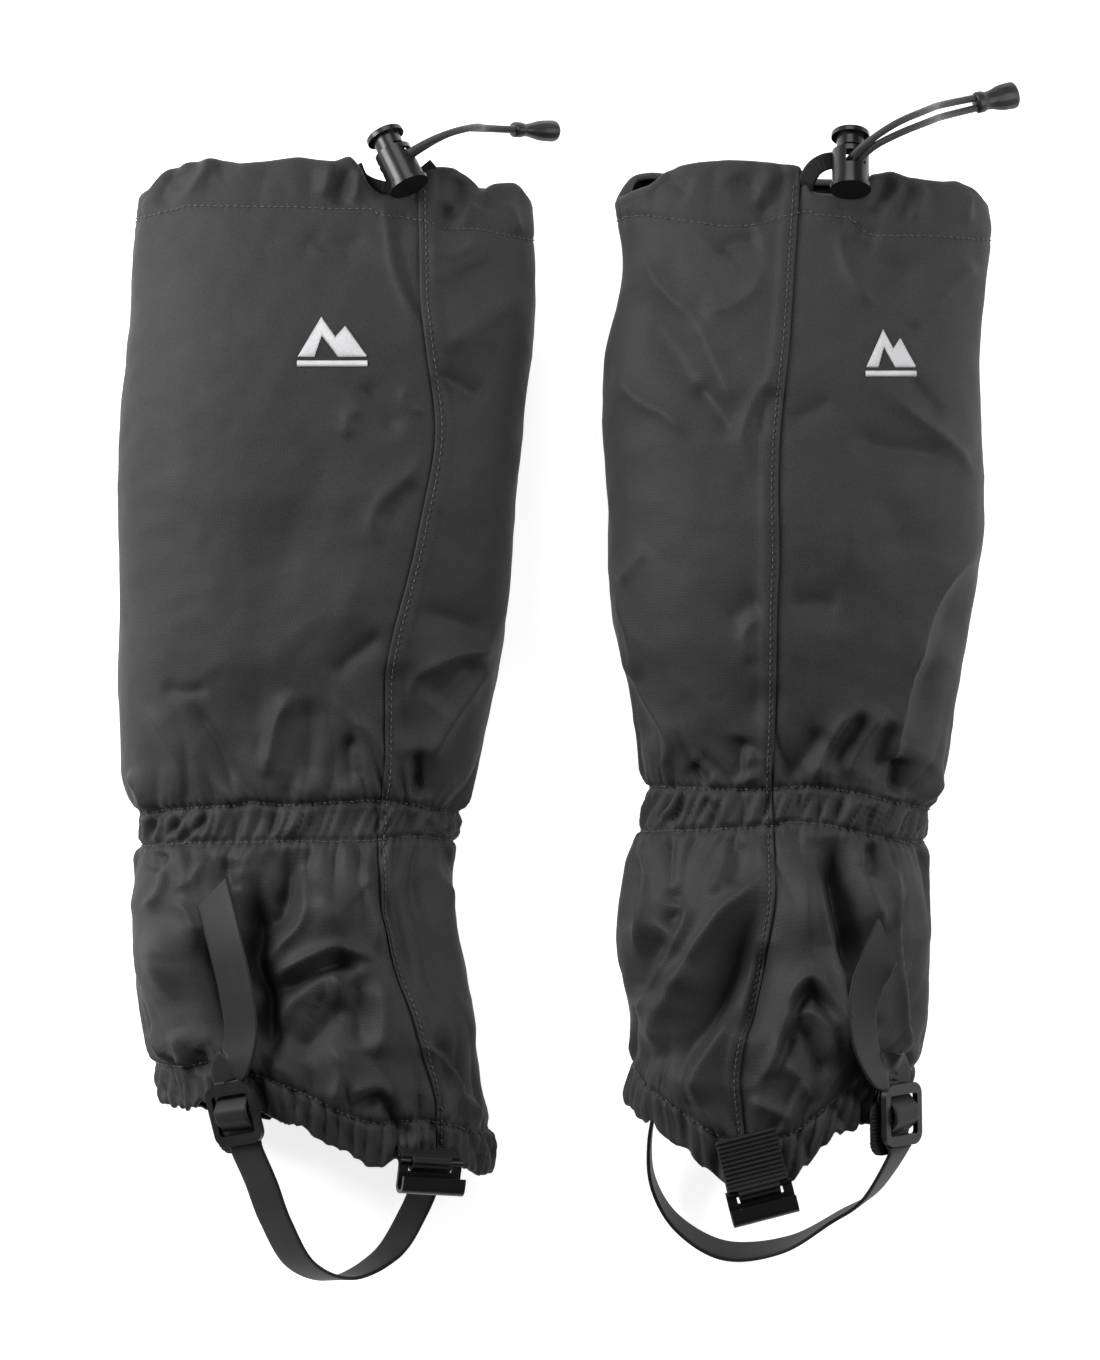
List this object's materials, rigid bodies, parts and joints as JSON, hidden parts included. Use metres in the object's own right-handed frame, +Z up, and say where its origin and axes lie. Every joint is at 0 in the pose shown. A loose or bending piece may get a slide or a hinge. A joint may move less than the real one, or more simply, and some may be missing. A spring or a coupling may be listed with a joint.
{
  "type": "gaiters",
  "caption": "Pair of mirrored knee-high hiking gaiters with a drawcord rim, elasticated ankle and hem, under-foot strap with slider buckle, and lace hook.",
  "frame": {"origin": "on the resting surface, under the middle of the pair as it lies on its back", "axes": "+Z up, away from the surface; +Y up the leg, from boot hem to top rim; +X from the right-leg gaiter to the left-leg one"},
  "size_m": [0.3611, 0.4797, 0.0762],
  "materials": {
    "cloth": "fine plain weave, matt with a soft sheen",
    "facing": "coated inner cloth, matt",
    "elastic": "ribbed elastic band",
    "cord": "braided sheath",
    "emblem_thread": "satin embroidery thread",
    "webbing": "ribbed webbing",
    "strap": "smooth satin polyurethane",
    "hard_plastic": "moulded, satin gloss",
    "hook_metal": "black, semi-gloss",
    "spring_steel": "bright wire"
  },
  "bodies": {
    "right_gaiter": {"right_outer_panel": "cloth", "right_inner_panel": "cloth", "right_rim_channel": "facing", "right_drawcord": "cord", "right_ankle_elastic": "elastic", "right_ankle_casing": "facing", "right_hem_elastic": "elastic", "right_hem_casing": "facing", "right_emblem": "emblem_thread", "right_cord_lock_ribbon": "webbing", "right_cord_tail_a": "cord", "right_cord_tail_b": "cord", "right_cord_end": "hard_plastic", "right_strap_tail": "strap", "right_lace_hook_tab": "webbing"},
    "right_strap": {"right_foot_strap": "strap", "right_buckle": "hard_plastic", "right_buckle_backing": "webbing", "right_strap_anchor": "webbing"},
    "right_lock": {"right_cord_lock_body": "hard_plastic", "right_cord_lock_spring": "spring_steel"},
    "right_button": {"right_cord_lock_plunger": "hard_plastic"},
    "right_hook": {"right_lace_hook": "hook_metal"},
    "left_gaiter": {"left_outer_panel": "cloth", "left_inner_panel": "cloth", "left_rim_channel": "facing", "left_drawcord": "cord", "left_ankle_elastic": "elastic", "left_ankle_casing": "facing", "left_hem_elastic": "elastic", "left_hem_casing": "facing", "left_emblem": "emblem_thread", "left_cord_lock_ribbon": "webbing", "left_cord_tail_a": "cord", "left_cord_tail_b": "cord", "left_cord_end": "hard_plastic", "left_strap_tail": "strap", "left_lace_hook_tab": "webbing"},
    "left_strap": {"left_foot_strap": "strap", "left_buckle": "hard_plastic", "left_buckle_backing": "webbing", "left_strap_anchor": "webbing"},
    "left_lock": {"left_cord_lock_body": "hard_plastic", "left_cord_lock_spring": "spring_steel"},
    "left_button": {"left_cord_lock_plunger": "hard_plastic"},
    "left_hook": {"left_lace_hook": "hook_metal"}
  },
  "joints": [
    {"name": "left_gaiter_lift", "type": "slide", "parent": "right_gaiter", "child": "left_gaiter", "axis": [0, 0, 1], "range_m": [0, 0.15]},
    {"name": "right_strap_swing", "type": "hinge", "parent": "right_gaiter", "child": "right_strap", "pos_m": [-0.1285, -0.163, 0.0675], "axis": [-0.8511, 0.0102, 0.5249], "range_deg": [0, 20]},
    {"name": "right_lock_slide", "type": "slide", "parent": "right_gaiter", "child": "right_lock", "axis": [0.7757, 0.5409, 0.3251], "range_m": [0, 0.0025]},
    {"name": "right_button_press", "type": "slide", "parent": "right_lock", "child": "right_button", "axis": [0.3999, -0.8198, 0.4099], "range_m": [0, 0.004], "stiffness_N_per_m": 400, "springref_m": -0.001, "deforming": ["right_cord_lock_spring"]},
    {"name": "right_hook_swing", "type": "hinge", "parent": "right_gaiter", "child": "right_hook", "pos_m": [-0.0502, -0.182, 0.058], "axis": [0.9195, -0.05, -0.3898], "range_deg": [0, 30]},
    {"name": "left_strap_swing", "type": "hinge", "parent": "left_gaiter", "child": "left_strap", "pos_m": [0.1383, -0.163, 0.053], "axis": [-0.9575, 0.1088, -0.2671], "range_deg": [0, 20]},
    {"name": "left_lock_slide", "type": "slide", "parent": "left_gaiter", "child": "left_lock", "axis": [0.3491, 0.4415, 0.8266], "range_m": [0, 0.0025]},
    {"name": "left_button_press", "type": "slide", "parent": "left_lock", "child": "left_button", "axis": [0, -0.8821, 0.4711], "range_m": [0, 0.004], "stiffness_N_per_m": 400, "springref_m": -0.001, "deforming": ["left_cord_lock_spring"]},
    {"name": "left_hook_swing", "type": "hinge", "parent": "left_gaiter", "child": "left_hook", "pos_m": [0.081, -0.1925, 0.0666], "axis": [0.9653, 0.2514, -0.0704], "range_deg": [0, 70]}
  ]
}
